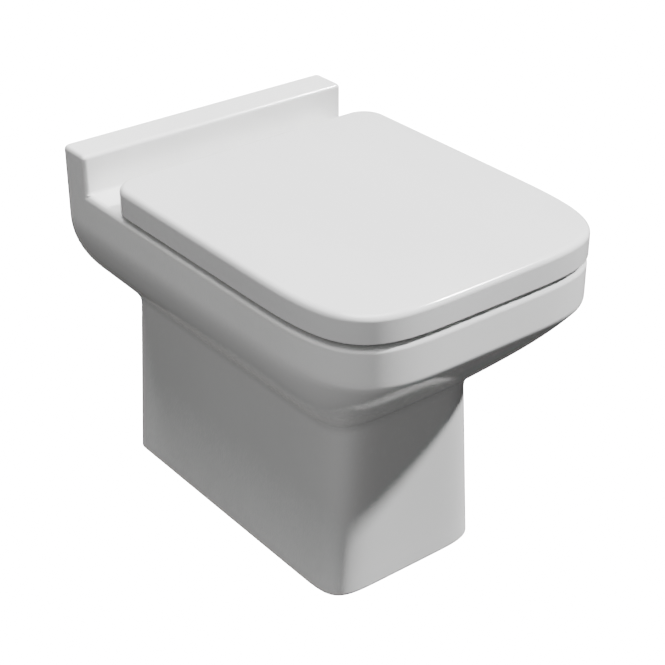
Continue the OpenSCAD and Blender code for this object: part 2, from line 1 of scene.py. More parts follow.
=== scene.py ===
import math
import bmesh
import bpy
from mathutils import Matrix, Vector


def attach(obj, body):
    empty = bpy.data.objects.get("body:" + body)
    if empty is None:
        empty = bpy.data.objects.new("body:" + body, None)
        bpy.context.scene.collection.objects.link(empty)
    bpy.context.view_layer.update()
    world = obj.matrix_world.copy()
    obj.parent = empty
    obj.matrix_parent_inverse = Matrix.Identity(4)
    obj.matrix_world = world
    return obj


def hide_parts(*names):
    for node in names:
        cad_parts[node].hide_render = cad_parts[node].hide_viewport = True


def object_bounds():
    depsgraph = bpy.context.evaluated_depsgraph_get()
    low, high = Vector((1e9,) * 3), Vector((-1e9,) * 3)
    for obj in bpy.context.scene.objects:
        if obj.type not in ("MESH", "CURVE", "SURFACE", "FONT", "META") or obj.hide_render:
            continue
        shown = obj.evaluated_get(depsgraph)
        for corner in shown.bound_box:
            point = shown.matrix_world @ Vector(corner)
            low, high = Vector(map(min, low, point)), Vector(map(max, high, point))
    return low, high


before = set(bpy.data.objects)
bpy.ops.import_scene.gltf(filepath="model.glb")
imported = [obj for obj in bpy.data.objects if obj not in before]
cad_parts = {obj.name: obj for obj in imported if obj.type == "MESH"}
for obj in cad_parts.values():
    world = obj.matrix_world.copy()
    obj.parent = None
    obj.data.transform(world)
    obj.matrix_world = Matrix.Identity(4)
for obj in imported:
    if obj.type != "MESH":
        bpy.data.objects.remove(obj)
cadLow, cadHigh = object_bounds()
print("frame loaded with", len(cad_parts), "pieces")

# everything is in metres, x runs across, y back to the wall, z up from the floor
wallY = cadHigh.y
past = 0.001  # how far a cutter stands past a face
bite = 0.0005  # how far joined shapes reach into each other


# finishes

class Amount:
    # a number socket that can be used in a sum
    def __init__(self, finish, socket):
        self.finish = finish
        self.socket = socket

    def work(self, operation, first, second):
        return Amount(self.finish, self.finish.add(
            "ShaderNodeMath", {"operation": operation}, {0: first, 1: second}).outputs[0])

    def __add__(self, other):
        return self.work("ADD", self, other)

    def __radd__(self, other):
        return self.work("ADD", other, self)

    def __sub__(self, other):
        return self.work("SUBTRACT", self, other)

    def __rsub__(self, other):
        return self.work("SUBTRACT", other, self)

    def __mul__(self, other):
        return self.work("MULTIPLY", self, other)

    def __rmul__(self, other):
        return self.work("MULTIPLY", other, self)


class Finish:
    # a material that is built node by node
    def __init__(self, name):
        self.material = bpy.data.materials.new(name)
        self.material.use_nodes = True
        self.nodes = self.material.node_tree.nodes
        self.links = self.material.node_tree.links
        self.shader = self.nodes["Principled BSDF"]
        self.place = self.add("ShaderNodeTexCoord").outputs["Object"]

    def add(self, kind, settings=None, sockets=None):
        node = self.nodes.new(kind)
        for key, value in (settings or {}).items():
            setattr(node, key, value)
        self.feed(node, sockets or {})
        return node

    def feed(self, node, sockets):
        for key, value in sockets.items():
            if isinstance(value, Amount):
                value = value.socket
            if isinstance(value, bpy.types.NodeSocket):
                self.links.new(value, node.inputs[key])
            else:
                node.inputs[key].default_value = value

    def noise(self, scale, detail=2.0, rough=0.5, stretch=None):
        place = self.place
        if stretch:
            sockets = {"Vector": place, "Scale": stretch}
            place = self.add("ShaderNodeMapping", {}, sockets).outputs[0]
        sockets = {"Vector": place, "Scale": scale, "Detail": detail, "Roughness": rough}
        return Amount(self, self.add("ShaderNodeTexNoise", {}, sockets).outputs["Fac"])

    def height(self):
        return Amount(self, self.add("ShaderNodeSeparateXYZ", {}, {0: self.place}).outputs["Z"])

    # 0 up to the first value, 1 from the second
    def step(self, amount, first, second):
        return Amount(self, self.add("ShaderNodeMapRange", {"interpolation_type": "SMOOTHSTEP"}, {
            "Value": amount, "From Min": first, "From Max": second}).outputs["Result"])

    # Mix keeps its colour sockets behind its number and vector sockets
    def colour(self, share, first, second):
        node = self.add("ShaderNodeMix", {"data_type": "RGBA"})
        for at, value in ((0, share), (6, first), (7, second)):
            socket = node.inputs[at]
            if isinstance(value, Amount):
                value = value.socket
            if isinstance(value, bpy.types.NodeSocket):
                self.links.new(value, socket)
            else:
                socket.default_value = value
        return node.outputs[2]

    def bump(self, heights, distance, strength=1.0, under=None):
        sockets = {"Height": heights, "Distance": distance, "Strength": strength}
        if under:
            sockets["Normal"] = under
        return self.add("ShaderNodeBump", {}, sockets).outputs["Normal"]

    def surface(self, **sockets):
        self.feed(self.shader, sockets)
        return self.material


glaze = {"white": (0.91, 0.91, 0.905, 1), "shade": (0.88, 0.88, 0.875, 1),
         "biscuit": (0.63, 0.58, 0.5, 1), "bareBelow": 0.0008, "glazedFrom": 0.002,
         "gloss": 0.11, "ripple": 0.0002}


def makeGlaze():
    china = Finish("glazedChina")
    cloud = china.noise(7, 3)
    # the foot is wiped bare of glaze before firing
    bare = 1 - china.step(china.height(), glaze["bareBelow"], glaze["glazedFrom"])
    tint = china.colour(china.step(cloud, 0.3, 0.7), glaze["white"], glaze["shade"])
    swell = china.bump(china.noise(14, 2), glaze["ripple"], 0.5)
    skin = china.bump(china.noise(700, 2), 0.00002, 0.35, swell)
    return china.surface(**{
        "Base Color": china.colour(bare, tint, glaze["biscuit"]),
        "Roughness": glaze["gloss"] + 0.06 * china.noise(30, 4) + 0.6 * bare,
        "Normal": skin, "IOR": 1.52})


rawClay = {"pale": (0.74, 0.72, 0.68, 1), "dark": (0.6, 0.56, 0.5, 1), "rough": 0.5,
           "grain": 0.0003}


def makeBareChina():
    # inside the pan the glaze is thin and dull, and the clay shows through
    clay = Finish("bareChina")
    patch = clay.step(clay.noise(16, 5, 0.6), 0.42, 0.62)
    return clay.surface(**{
        "Base Color": clay.colour(patch, rawClay["pale"], rawClay["dark"]),
        "Roughness": rawClay["rough"] + 0.3 * patch,
        "Normal": clay.bump(clay.noise(260, 5, 0.7), rawClay["grain"], 0.6)})


plastic = {"white": (0.8, 0.8, 0.8, 1), "shade": (0.775, 0.775, 0.777, 1), "gloss": 0.13,
           "ripple": 0.00025}


def makeDuroplast():
    shell = Finish("duroplast")
    flow = shell.noise(11, 3, 0.5, (1, 0.4, 1))
    rubbed = shell.step(shell.noise(60, 6, 0.65, (1, 0.15, 1)), 0.45, 0.75)
    swell = shell.bump(shell.noise(20, 2), plastic["ripple"], 0.4)
    tint = shell.colour(shell.step(flow, 0.3, 0.7), plastic["white"], plastic["shade"])
    return shell.surface(**{
        "Base Color": tint,
        "Roughness": plastic["gloss"] + 0.07 * rubbed,
        "Normal": shell.bump(shell.noise(1500, 2), 0.00001, 0.4, swell)})


plating = {"bright": (0.78, 0.79, 0.8, 1), "smeared": (0.7, 0.71, 0.73, 1), "gloss": 0.06}


def makeChrome():
    plate = Finish("chrome")
    smear = plate.step(plate.noise(90, 5, 0.6), 0.4, 0.7)
    return plate.surface(**{
        "Base Color": plate.colour(smear, plating["bright"], plating["smeared"]),
        "Metallic": 1.0, "Roughness": plating["gloss"] + 0.12 * smear,
        "Normal": plate.bump(plate.noise(500, 2), 0.00001, 0.3)})


drawnSteel = {"bright": (0.6, 0.6, 0.59, 1), "dark": (0.48, 0.48, 0.47, 1), "gloss": 0.26}


def makeSteel():
    steel = Finish("brightSteel")
    drawn = steel.noise(900, 3, 0.6, (1, 1, 0.03))
    return steel.surface(**{
        "Base Color": steel.colour(drawn, drawnSteel["bright"], drawnSteel["dark"]),
        "Metallic": 1.0, "Roughness": drawnSteel["gloss"] + 0.2 * drawn,
        "Normal": steel.bump(drawn, 0.00004, 0.5)})


moulded = {"pale": (0.7, 0.7, 0.68, 1), "dark": (0.62, 0.62, 0.6, 1), "rough": 0.42}


def makeMoulded():
    nylon = Finish("mouldedNylon")
    grain = nylon.noise(1200, 4, 0.6)
    return nylon.surface(**{
        "Base Color": nylon.colour(nylon.noise(40, 3), moulded["pale"], moulded["dark"]),
        "Roughness": moulded["rough"] + 0.2 * grain, "Normal": nylon.bump(grain, 0.00006, 0.5)})


softRubber = {"dark": (0.2, 0.2, 0.205, 1), "worn": (0.27, 0.27, 0.275, 1), "rough": 0.62}


def makeRubber():
    rubber = Finish("greyRubber")
    grain = rubber.noise(800, 4, 0.7)
    worn = rubber.step(rubber.noise(120, 4), 0.45, 0.7)
    return rubber.surface(**{
        "Base Color": rubber.colour(worn, softRubber["dark"], softRubber["worn"]),
        "Roughness": softRubber["rough"] + 0.2 * grain,
        "Normal": rubber.bump(grain, 0.0001, 0.6)})


china, bareChina, duroplast = makeGlaze(), makeBareChina(), makeDuroplast()
chrome, steel, nylon, rubber = makeChrome(), makeSteel(), makeMoulded(), makeRubber()
print("finishes made")


# ways of shaping

def clearSelection():
    if bpy.context.object and bpy.context.object.mode != "OBJECT":
        bpy.ops.object.mode_set(mode="OBJECT")
    bpy.ops.object.select_all(action="DESELECT")


def selectOnly(piece):
    clearSelection()
    piece.select_set(True)
    bpy.context.view_layer.objects.active = piece


def smoothMax(a, b, soft):
    near = max(soft - abs(a - b), 0) / soft
    return max(a, b) + near * near * soft / 4


def mix(a, b, share):
    return a + (b - a) * min(1, max(0, share))


def fromTo(first, last, count):
    return [first + (last - first) * i / (count - 1) for i in range(count)]


def quarter(count):
    return [math.radians(90 * i / (count - 1)) for i in range(count)]


# a ring in plan: straight sides, a squared front curve and two round rear corners
def planRing(half, rear, rearRound, side, front, power, z, frontSteps=96, rearSteps=9):
    ring = []
    for i in range(frontSteps + 1):
        turn = math.pi * i / frontSteps
        across = math.copysign(abs(math.cos(turn)) ** (2 / power), math.cos(turn)) * half
        if i * 2 == frontSteps:
            across = 0
        ring.append((across, -side - (front - side) * abs(math.sin(turn)) ** (2 / power)))
    corner = [(rearRound * (1 - math.cos(t)), rearRound * (1 - math.sin(t)))
              for t in quarter(rearSteps)]
    ring += [(-half + x, -rear - y) for x, y in corner]
    ring += [(half - x, -rear - y) for x, y in reversed(corner)]
    return [Vector((x, y + wallY, z)) for x, y in ring]


# a ring in plan with four round corners
def boxRing(half, rear, front, rearRound, frontRound, z, steps=8):
    ring = [(half - frontRound * (1 - math.cos(t)), -front + frontRound * (1 - math.sin(t)))
            for t in quarter(steps)]
    ring += [(-half + frontRound * (1 - math.sin(t)), -front + frontRound * (1 - math.cos(t)))
             for t in quarter(steps)]
    ring += [(-half + rearRound * (1 - math.cos(t)), -rear - rearRound * (1 - math.sin(t)))
             for t in quarter(steps)]
    ring += [(half - rearRound * (1 - math.sin(t)), -rear - rearRound * (1 - math.cos(t)))
             for t in quarter(steps)]
    return [Vector((x, y + wallY, z)) for x, y in ring]


# a filled circle is set on the first ring, then extruded from ring to ring
def pullThrough(name, rings, finish, looped=False):
    clearSelection()
    bpy.ops.mesh.primitive_circle_add(vertices=len(rings[0]), radius=0.1, fill_type="NGON")
    piece = bpy.context.object
    piece.name = name
    bpy.ops.object.mode_set(mode="EDIT")
    shape = bmesh.from_edit_mesh(piece.data)
    shape.verts.ensure_lookup_table()
    place = {}
    for i, spot in enumerate(rings[0]):
        shape.verts[i].co = spot
        place[i] = i
    for ring in rings[1:]:
        bpy.ops.mesh.extrude_region_move(TRANSFORM_OT_translate={"value": (0, 0, 0.001)})
        shape = bmesh.from_edit_mesh(piece.data)
        shape.verts.index_update()
        lifted = {}
        for vert in shape.verts:
            if vert.select:
                ends = [edge.other_vert(vert) for edge in vert.link_edges]
                below = next(end for end in ends if not end.select)
                lifted[vert.index] = place[below.index]
                vert.co = ring[place[below.index]]
        place = lifted
    if looped:
        bpy.ops.mesh.select_mode(type="FACE")
        bpy.ops.mesh.select_all(action="DESELECT")
        shape = bmesh.from_edit_mesh(piece.data)
        for face in shape.faces:
            face.select = len(face.verts) == len(rings[0])
        bmesh.update_edit_mesh(piece.data)
        bpy.ops.mesh.bridge_edge_loops()
    bpy.ops.mesh.select_all(action="SELECT")
    bpy.ops.mesh.normals_make_consistent(inside=False)
    bpy.ops.mesh.select_mode(type="VERT")
    bpy.ops.object.mode_set(mode="OBJECT")
    piece.data.materials.append(finish)
    return piece


def addBlock(low, high, finish, soft=0.0):
    clearSelection()
    low, high = Vector(low), Vector(high)
    bpy.ops.mesh.primitive_cube_add(size=1, location=(low + high) / 2)
    piece = bpy.context.object
    piece.scale = high - low
    bpy.ops.object.transform_apply(location=True, rotation=True, scale=True)
    piece.data.materials.append(finish)
    if soft:
        soften(piece, soft)
    return piece


# a round bar between two points on a line along x, y or z
def addBar(start, end, across, finish, sides=64):
    clearSelection()
    start, end = Vector(start), Vector(end)
    along = end - start
    bpy.ops.mesh.primitive_cylinder_add(
        vertices=sides, radius=across / 2, depth=along.length, location=(start + end) / 2,
        rotation=along.to_track_quat("Z", "Y").to_euler())
    piece = bpy.context.object
    bpy.ops.object.transform_apply(location=True, rotation=True, scale=True)
    piece.data.materials.append(finish)
    return piece


def useModifier(piece, kind, **settings):
    selectOnly(piece)
    change = piece.modifiers.new(kind.lower(), kind)
    for key, value in settings.items():
        setattr(change, key, value)
    bpy.ops.object.modifier_apply(modifier=change.name)


def soften(piece, width, segments=3, angle=40):
    useModifier(piece, "BEVEL", width=width, segments=segments, limit_method="ANGLE",
                angle_limit=math.radians(angle), harden_normals=False)


def combine(piece, operation, others):
    for other in others:
        useModifier(piece, "BOOLEAN", operation=operation, solver="MANIFOLD", object=other)
        bpy.data.objects.remove(other)
    return piece


def finishSurface(piece, angle=38, merge=0.000002):
    selectOnly(piece)
    bpy.ops.object.mode_set(mode="EDIT")
    bpy.ops.mesh.select_all(action="SELECT")
    bpy.ops.mesh.remove_doubles(threshold=merge)
    bpy.ops.mesh.dissolve_degenerate(threshold=merge)
    bpy.ops.object.mode_set(mode="OBJECT")
    bpy.ops.object.shade_smooth_by_angle(angle=math.radians(angle))
    useModifier(piece, "WEIGHTED_NORMAL", mode="FACE_AREA", weight=50, keep_sharp=True)
    return piece


def settle(piece, name, body, slotName, *stoodFor):
    piece.name = name
    piece.data.name = name
    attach(piece, body)
    if stoodFor:
        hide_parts(*stoodFor)
    print("made", name, len(piece.data.polygons), "faces")
    return piece


# the pan

# levels: the first height, the last height and the number of rings between them
pan = {"width": 0.362, "depth": 0.518, "rim": 0.393, "band": 0.048, "rimRound": 0.007,
       "sideDepth": 0.297, "rimPower": 5, "rearRound": 0.004, "sideStart": 0.010,
       "sideBend": 0.082, "sideLean": 0.9, "frontBend": 0.008, "frontLean": 0.87,
       "frontCurve": 0.9, "underPower": 6, "cornerBlend": 0.06, "wall": 0.011, "deck": 0.014,
       "ledgeTop": 0.440, "ledgeDepth": 0.045, "ledgeRound": 0.005, "ledgeWall": 0.014,
       "ledgeOpen": 0.0005, "cove": 0.004, "footWidth": 0.216, "neckWidth": 0.189,
       "footDepth": 0.401, "neckHeight": 0.219, "footPower": 7, "neckBlend": 0.009,
       "footRound": 0.007, "lugSpan": 0.150, "lugWidth": 0.034, "lugHeight": 0.016,
       "lugRound": 0.0012, "lugHole": 0.009, "lugDepth": 0.070, "glazeDepth": 0.004,
       "hollowFront": 0.008, "levels": ((0.03, 0.18, 6), (0.195, 0.245, 26),
                                        (0.249, 0.325, 20), (0.328, 0.362, 24))}
bandZ = pan["rim"] - pan["band"]


# how far a face draws in below an edge: first in an arc, then straight
def drawnIn(fall, lean, bend):
    return lean * (max(0, fall) ** 2 / (2 * bend) if fall < bend else fall - bend / 2)


def halfWidth(z):
    fall = bandZ + pan["sideStart"] - z
    body = pan["width"] / 2 - drawnIn(fall, pan["sideLean"], pan["sideBend"])
    foot = mix(pan["footWidth"], pan["neckWidth"], z / pan["neckHeight"]) / 2
    return min(pan["width"] / 2, smoothMax(body, foot, pan["neckBlend"]))


def reach(z):
    fall = bandZ + pan["frontBend"] / 2 - z
    below = (pan["depth"] - drawnIn(fall, pan["frontLean"], pan["frontBend"])
             - pan["frontCurve"] * max(0, bandZ - z) ** 2)
    return min(pan["depth"], smoothMax(below, pan["footDepth"], pan["neckBlend"]))


def squareness(z):
    if z < pan["neckHeight"]:
        return mix(pan["footPower"], pan["underPower"], z / pan["neckHeight"])
    return mix(pan["underPower"], pan["rimPower"], 1 - (bandZ - z) / pan["cornerBlend"])


def panOutside():
    rings = []
    for turn in reversed(quarter(8)):
        drop = pan["footRound"] * (1 - math.cos(turn))
        z = pan["footRound"] * (1 - math.sin(turn))
        rings.append(planRing(halfWidth(z) - drop, drop, pan["rearRound"], pan["sideDepth"],
                              reach(z) - drop, pan["footPower"], z))
    heights = [z for span in pan["levels"] for z in fromTo(*span)]
    for z in heights:
        rings.append(planRing(halfWidth(z), 0, pan["rearRound"], pan["sideDepth"], reach(z),
                              squareness(z), z))
    for turn in quarter(9):
        drop = pan["rimRound"] * (1 - math.cos(turn))
        rings.append(planRing(pan["width"] / 2 - drop, 0, pan["rearRound"], pan["sideDepth"],
                              pan["depth"] - drop, pan["rimPower"],
                              pan["rim"] - pan["rimRound"] * (1 - math.sin(turn))))
    return pullThrough("pan", rings, china)


def ledgeBlock():
    half, front = pan["width"] / 2, pan["ledgeDepth"]
    soft, hollow = pan["ledgeRound"], pan["cove"]
    rings = [boxRing(half, 0, front + hollow, pan["rearRound"], soft + hollow,
                     pan["rim"] - pan["rimRound"])]
    for turn in quarter(7):
        out = 1 - math.sin(turn)
        rings.append(boxRing(half, 0, front + hollow * out, pan["rearRound"],
                             soft + hollow * out, pan["rim"] + hollow * (1 - math.cos(turn))))
    for turn in quarter(9):
        drop = 1 - math.cos(turn)
        rings.append(boxRing(half - soft * drop, soft * drop / 2, front - soft * drop,
                             pan["rearRound"], soft,
                             pan["ledgeTop"] - soft + soft * math.sin(turn)))
    return pullThrough("ledge", rings, china)


def panHollow():
    wall, deckZ = pan["wall"], pan["rim"] - pan["deck"]
    heights = [-past, 0.03, pan["neckHeight"] * 0.7]
    heights += fromTo(pan["neckHeight"], bandZ, 12) + [deckZ]
    rings = []
    for z in heights:
        low = max(0, z - wall / 2)
        front = min(reach(low) - wall, pan["footDepth"] + pan["hollowFront"])
        rings.append(planRing(halfWidth(low) - wall, -past, past, pan["sideDepth"], front,
                              pan["rimPower"], z, 48, 3))
    return pullThrough("panHollow", rings, bareChina)


bowl = {"half": 0.118, "rear": 0.165, "front": 0.478, "corner": 0.088, "lip": 0.042,
        "lipWall": 0.009, "edge": 0.005, "channel": 0.009, "channelRoof": 0.003,
        "sumpZ": 0.088, "sumpHalf": 0.040, "sumpRear": 0.236, "sumpFront": 0.312,
        "sumpEdge": 0.003, "sumpCorner": 0.038, "power": 3.2, "sumpPower": 2, "sideCurve": 2.5,
        "rearCurve": 0.8, "frontCurve": 1.55, "frontSteps": 72, "rearSteps": 14}
lipZ = pan["rim"] - bowl["lip"]
channelZ = pan["rim"] - pan["deck"] - bowl["channelRoof"]


def bowlRing(z, grow):
    down = min(1, max(0, (lipZ - z) / (lipZ - bowl["sumpZ"])))
    behind = bowl["lipWall"] + bowl["channel"]
    sideShare = max(0, 1 - down * down) ** bowl["sideCurve"]
    return planRing(
        mix(bowl["sumpHalf"], bowl["half"] + behind, sideShare) + grow,
        mix(bowl["rear"] - behind, bowl["sumpRear"], down ** bowl["rearCurve"]) - grow,
        mix(bowl["corner"], bowl["sumpCorner"], down) + grow,
        mix(pan["sideDepth"], (bowl["sumpRear"] + bowl["sumpFront"]) / 2, down),
        mix(bowl["sumpFront"], bowl["front"] + behind, (1 - down) ** bowl["frontCurve"]) + grow,
        mix(bowl["power"], bowl["sumpPower"], down), z, bowl["frontSteps"], bowl["rearSteps"])


def bowlSkin():
    bottom = bowl["sumpZ"] + bowl["sumpEdge"]
    low = [Vector((p.x, p.y, bowl["sumpZ"] - pan["wall"])) for p in bowlRing(bottom, pan["wall"])]
    rings = [low] + [bowlRing(z, pan["wall"]) for z in fromTo(bottom, lipZ, 24)]
    rings.append(bowlRing(pan["rim"] - pan["deck"] + bite, pan["wall"]))
    # at the neck the skin stays under the glaze of the pan's sides
    for ring in rings:
        for spot in ring:
            limit = halfWidth(spot.z) - pan["glazeDepth"]
            spot.x = min(limit, max(-limit, spot.x))
    return pullThrough("bowlSkin", rings, bareChina)


def bowlSpace():
    half, bottom = bowl["lipWall"] / 2, bowl["sumpZ"] + bowl["sumpEdge"]
    rings = []
    for turn in quarter(5):
        rings.append(bowlRing(bottom - bowl["sumpEdge"] * math.sin(math.pi / 2 - turn),
                              -bowl["sumpEdge"] * (1 - math.sin(turn))))
    rings += [bowlRing(z, 0) for z in fromTo(bottom, lipZ, 48)[1:]]
    rings.append(bowlRing(channelZ, 0))
    profile = [(bowl["lipWall"], channelZ)]
    profile += [(half + half * math.cos(t), lipZ + half - half * math.sin(t))
                for t in fromTo(0, math.pi, 9)]
    profile += [(bowl["edge"] * (1 - math.cos(t)), pan["rim"] - bowl["edge"] * (1 - math.sin(t)))
                for t in quarter(7)]
    profile.append((bowl["edge"], pan["rim"] + past))
    for out, z in profile:
        rings.append(planRing(bowl["half"] + out, bowl["rear"] - out, bowl["corner"] + out,
                              pan["sideDepth"], bowl["front"] + out, bowl["power"], z,
                              bowl["frontSteps"], bowl["rearSteps"]))
    return pullThrough("bowlSpace", rings, china)


# mouth: distance in front of the sump's rear, height over its floor, pitch, and how much
# less half height and half width; bend: the pitches over the weir; fall: distance in
# front of the gap, height over the outlet's axis, pitch and how much more half height
trap = {"outletZ": 0.180, "outletWidth": 0.102, "wall": 0.008, "gap": 0.040, "spigot": 0.030,
        "weirZ": 0.188, "weirDepth": 0.130, "bendClear": 0.003, "halfHeight": 0.027,
        "halfWidth": 0.041, "inletZ": 0.335, "inletBore": 0.044, "inletNear": 0.116,
        "inletFar": 0.156,
        "mouth": ((0.050, 0.024, 0, 0.005, 0.009), (0.008, 0.025, 4, 0.003, 0.005),
                  (-0.032, 0.030, 32, 0.001, 0.002)),
        "bend": (50, 37, 25, 12, 0, -11, -22, -32, -42),
        "fall": ((0.052, 0.011, -24, 0.006), (0.040, 0.002, -8, 0.014))}
spigotD = trap["gap"] + trap["spigot"]


# stations: distance from the wall, height, pitch, half height and half width
def trapStations():
    high, wide = trap["halfHeight"], trap["halfWidth"]
    radius = high + trap["wall"] + trap["bendClear"]
    bore = trap["outletWidth"] / 2 - trap["wall"]
    stations = [(bowl["sumpRear"] + away, bowl["sumpZ"] + up, pitch, high - flat, wide - slim)
                for away, up, pitch, flat, slim in trap["mouth"]]
    for pitch in trap["bend"]:
        lean = math.radians(pitch)
        stations.append((trap["weirDepth"] + radius * math.sin(lean),
                         trap["weirZ"] + high - radius * (1 - math.cos(lean)), pitch, high, wide))
    stations += [(trap["gap"] + away, trap["outletZ"] + up, pitch, high + more, bore)
                 for away, up, pitch, more in trap["fall"]]
    return stations + [(spigotD, trap["outletZ"], 0, bore, bore)]


def trapTube(name, grow, first, finish):
    rings = []
    for back, z, pitch, high, wide in trapStations()[first:]:
        lean = math.radians(pitch)
        ring = []
        for i in range(48):
            turn = 2 * math.pi * i / 48
            up = (high + grow) * math.sin(turn)
            ring.append(Vector(((wide + grow) * math.cos(turn),
                                wallY - back - up * math.sin(lean), z + up * math.cos(lean))))
        rings.append(ring)
    return pullThrough(name, rings, finish)


def alongWall(z, across, near, far, finish):
    return addBar((0, wallY - near, z), (0, wallY - far, z), across, finish)


# the hinge sizes are shared by the pan, the lid and the seat
hinge = {"span": 0.155, "hole": 0.014, "axisDepth": 0.112, "axisZ": 0.4128,
         "blockWidth": 0.026, "play": 0.0005, "lug": 0.012, "lugEnd": 0.002, "barrel": 0.017,
         "barrelPlay": 0.0006, "pin": 0.008, "bush": 0.011, "fit": 0.0001}


def makePan():
    body = combine(panOutside(), "UNION", [ledgeBlock()])
    wall, deckZ = pan["wall"], pan["rim"] - pan["deck"]
    half = pan["width"] / 2 - pan["ledgeWall"]
    hollow = addBlock((-half, wallY - pan["ledgeDepth"] + wall, deckZ - pan["ledgeOpen"]),
                      (half, wallY - wall, pan["ledgeTop"] - wall), bareChina)
    combine(body, "DIFFERENCE", [panHollow(), hollow])
    inside = [bowlSkin(), trapTube("trapOutside", trap["wall"], 1, bareChina),
              alongWall(trap["outletZ"], trap["outletWidth"], trap["gap"], spigotD + past,
                        bareChina)]
    lugY = wallY - pan["lugDepth"]
    for side in (-1, 1):
        near = pan["lugSpan"] / 2 - pan["lugWidth"] / 2
        far = pan["footWidth"] / 2 - pan["wall"] + bite
        xs = sorted((side * near, side * far))
        inside.append(addBlock((xs[0], lugY - pan["lugWidth"] / 2, 0),
                               (xs[1], lugY + pan["lugWidth"] / 2, pan["lugHeight"]),
                               bareChina, pan["lugRound"]))
    combine(body, "UNION", inside)
    spaces = [bowlSpace(), trapTube("trapInside", 0, 0, china),
              alongWall(trap["outletZ"], trap["outletWidth"] - 2 * trap["wall"],
                        trap["gap"] - past, spigotD + past, china),
              alongWall(trap["inletZ"], trap["inletBore"], trap["inletNear"], trap["inletFar"],
                        china)]
    for side in (-1, 1):
        x, y = side * hinge["span"] / 2, wallY - hinge["axisDepth"]
        spaces.append(addBar((x, y, deckZ - past), (x, y, pan["rim"] + past), hinge["hole"],
                             china, 48))
        x = side * pan["lugSpan"] / 2
        spaces.append(addBar((x, lugY, -past), (x, lugY, pan["lugHeight"] + past),
                             pan["lugHole"], bareChina, 32))
    combine(body, "DIFFERENCE", spaces)
    finishSurface(body)
    settle(body, "panCasting", "pan", "china", "pan")


makePan()


# the lid

lid = {"gap": 0.004, "height": 0.032, "over": 0.0005, "rear": 0.0975, "rearRound": 0.030,
       "leastRound": 0.002, "soft": 0.007, "top": 0.006, "skirt": 0.005, "crown": 0.001,
       "crownReach": 0.1, "crownSteps": 10, "edge": 0.001, "ceilingRound": 0.003,
       "ceilingIn": 0.001, "ceilingDrop": 0.002, "sweepGap": 0.0008, "reliefHalf": 0.19,
       "barHalf": 0.2, "notchGap": 0.002, "notchShare": 0.45, "webDepth": 0.024,
       "webDrop": 0.002}
lidZ = pan["rim"] + lid["gap"]
lidTop = lidZ + lid["height"]
ceiling = lidTop - lid["crown"] - lid["top"]


def lidRing(inset, z):
    return planRing(pan["width"] / 2 + lid["over"] - inset, lid["rear"] + inset,
                    max(lid["leastRound"], lid["rearRound"] - inset), pan["sideDepth"],
                    pan["depth"] + lid["over"] - inset, pan["rimPower"], z, 112, 14)


def axisBar(x0, x1, across, finish, sides=64):
    y = wallY - hinge["axisDepth"]
    return addBar((x0, y, hinge["axisZ"]), (x1, y, hinge["axisZ"]), across, finish, sides)


def lidShell():
    skirt, soft, edge, inner = lid["skirt"], lid["soft"], lid["edge"], lid["ceilingRound"]
    rings = [lidRing(skirt + lid["ceilingIn"] + inner * (1 - math.sin(t)),
                     ceiling - inner * (1 - math.cos(t))) for t in quarter(6)]
    rings.append(lidRing(skirt, ceiling - lid["ceilingDrop"] - inner))
    rings.append(lidRing(skirt, lidZ + edge))
    rings += [lidRing(skirt - edge * (1 - math.cos(t)), lidZ + edge * (1 - math.sin(t)))
              for t in quarter(4)[1:]]
    rings += [lidRing(edge * (1 - math.sin(t)), lidZ + edge * (1 - math.cos(t)))
              for t in quarter(4)]
    under = lidTop - lid["crown"] - soft
    rings += [lidRing(soft * (1 - math.cos(t)), under + soft * math.sin(t)) for t in quarter(12)]
    for i in range(1, lid["crownSteps"] + 1):
        share = i / lid["crownSteps"]
        rings.append(lidRing(soft + lid["crownReach"] * share,
                             lidTop - lid["crown"] * (1 - share) ** 3))
    return pullThrough("lid", rings, duroplast)


def makeLid():
    shell = lidShell()
    y, low = wallY - hinge["axisDepth"], lidZ - past
    sweep = hinge["axisZ"] - pan["rim"] - lid["sweepGap"]
    relief = addBlock((-lid["reliefHalf"], y, low), (lid["reliefHalf"], wallY, hinge["axisZ"]),
                      duroplast)
    bar = axisBar(-lid["barHalf"], lid["barHalf"], 2 * sweep, duroplast, 128)
    combine(relief, "DIFFERENCE", [bar])
    lugIn = hinge["blockWidth"] / 2 + hinge["play"]
    notch = lugIn + hinge["lug"] + lid["notchGap"]
    notchTop = ceiling + lid["top"] * lid["notchShare"]
    cuts = [relief]
    for side in (-1, 1):
        middle = side * hinge["span"] / 2
        cuts.append(addBlock((middle - notch, y, low), (middle + notch, wallY, notchTop),
                             duroplast))
    combine(shell, "DIFFERENCE", cuts)
    lugs, holes = [], []
    for side in (-1, 1):
        middle = side * hinge["span"] / 2
        x0, x1 = sorted((middle + side * lugIn, middle + side * (lugIn + hinge["lug"])))
        lug = axisBar(x0, x1, hinge["barrel"] - hinge["barrelPlay"], duroplast)
        web = addBlock((x0, y - lid["webDepth"], hinge["axisZ"] - lid["webDrop"]),
                       (x1, y, ceiling + bite), duroplast)
        wedge = addBlock((x0, y - past, hinge["axisZ"]),
                         (x1, y - past + hinge["barrel"] / 2, notchTop + bite), duroplast)
        lugs.append(combine(lug, "UNION", [web, wedge]))
        across = hinge["pin"] if side < 0 else hinge["bush"]
        far = lugIn + hinge["lug"] + (-hinge["lugEnd"] if side < 0 else past)
        holes.append(axisBar(middle + side * (lugIn - past), middle + side * far,
                             across + hinge["fit"], duroplast, 48))
    combine(shell, "UNION", lugs)
    combine(shell, "DIFFERENCE", holes)
    finishSurface(shell)
    settle(shell, "lidShell", "lid", "duroplast", "lid")


makeLid()


# the seat ring

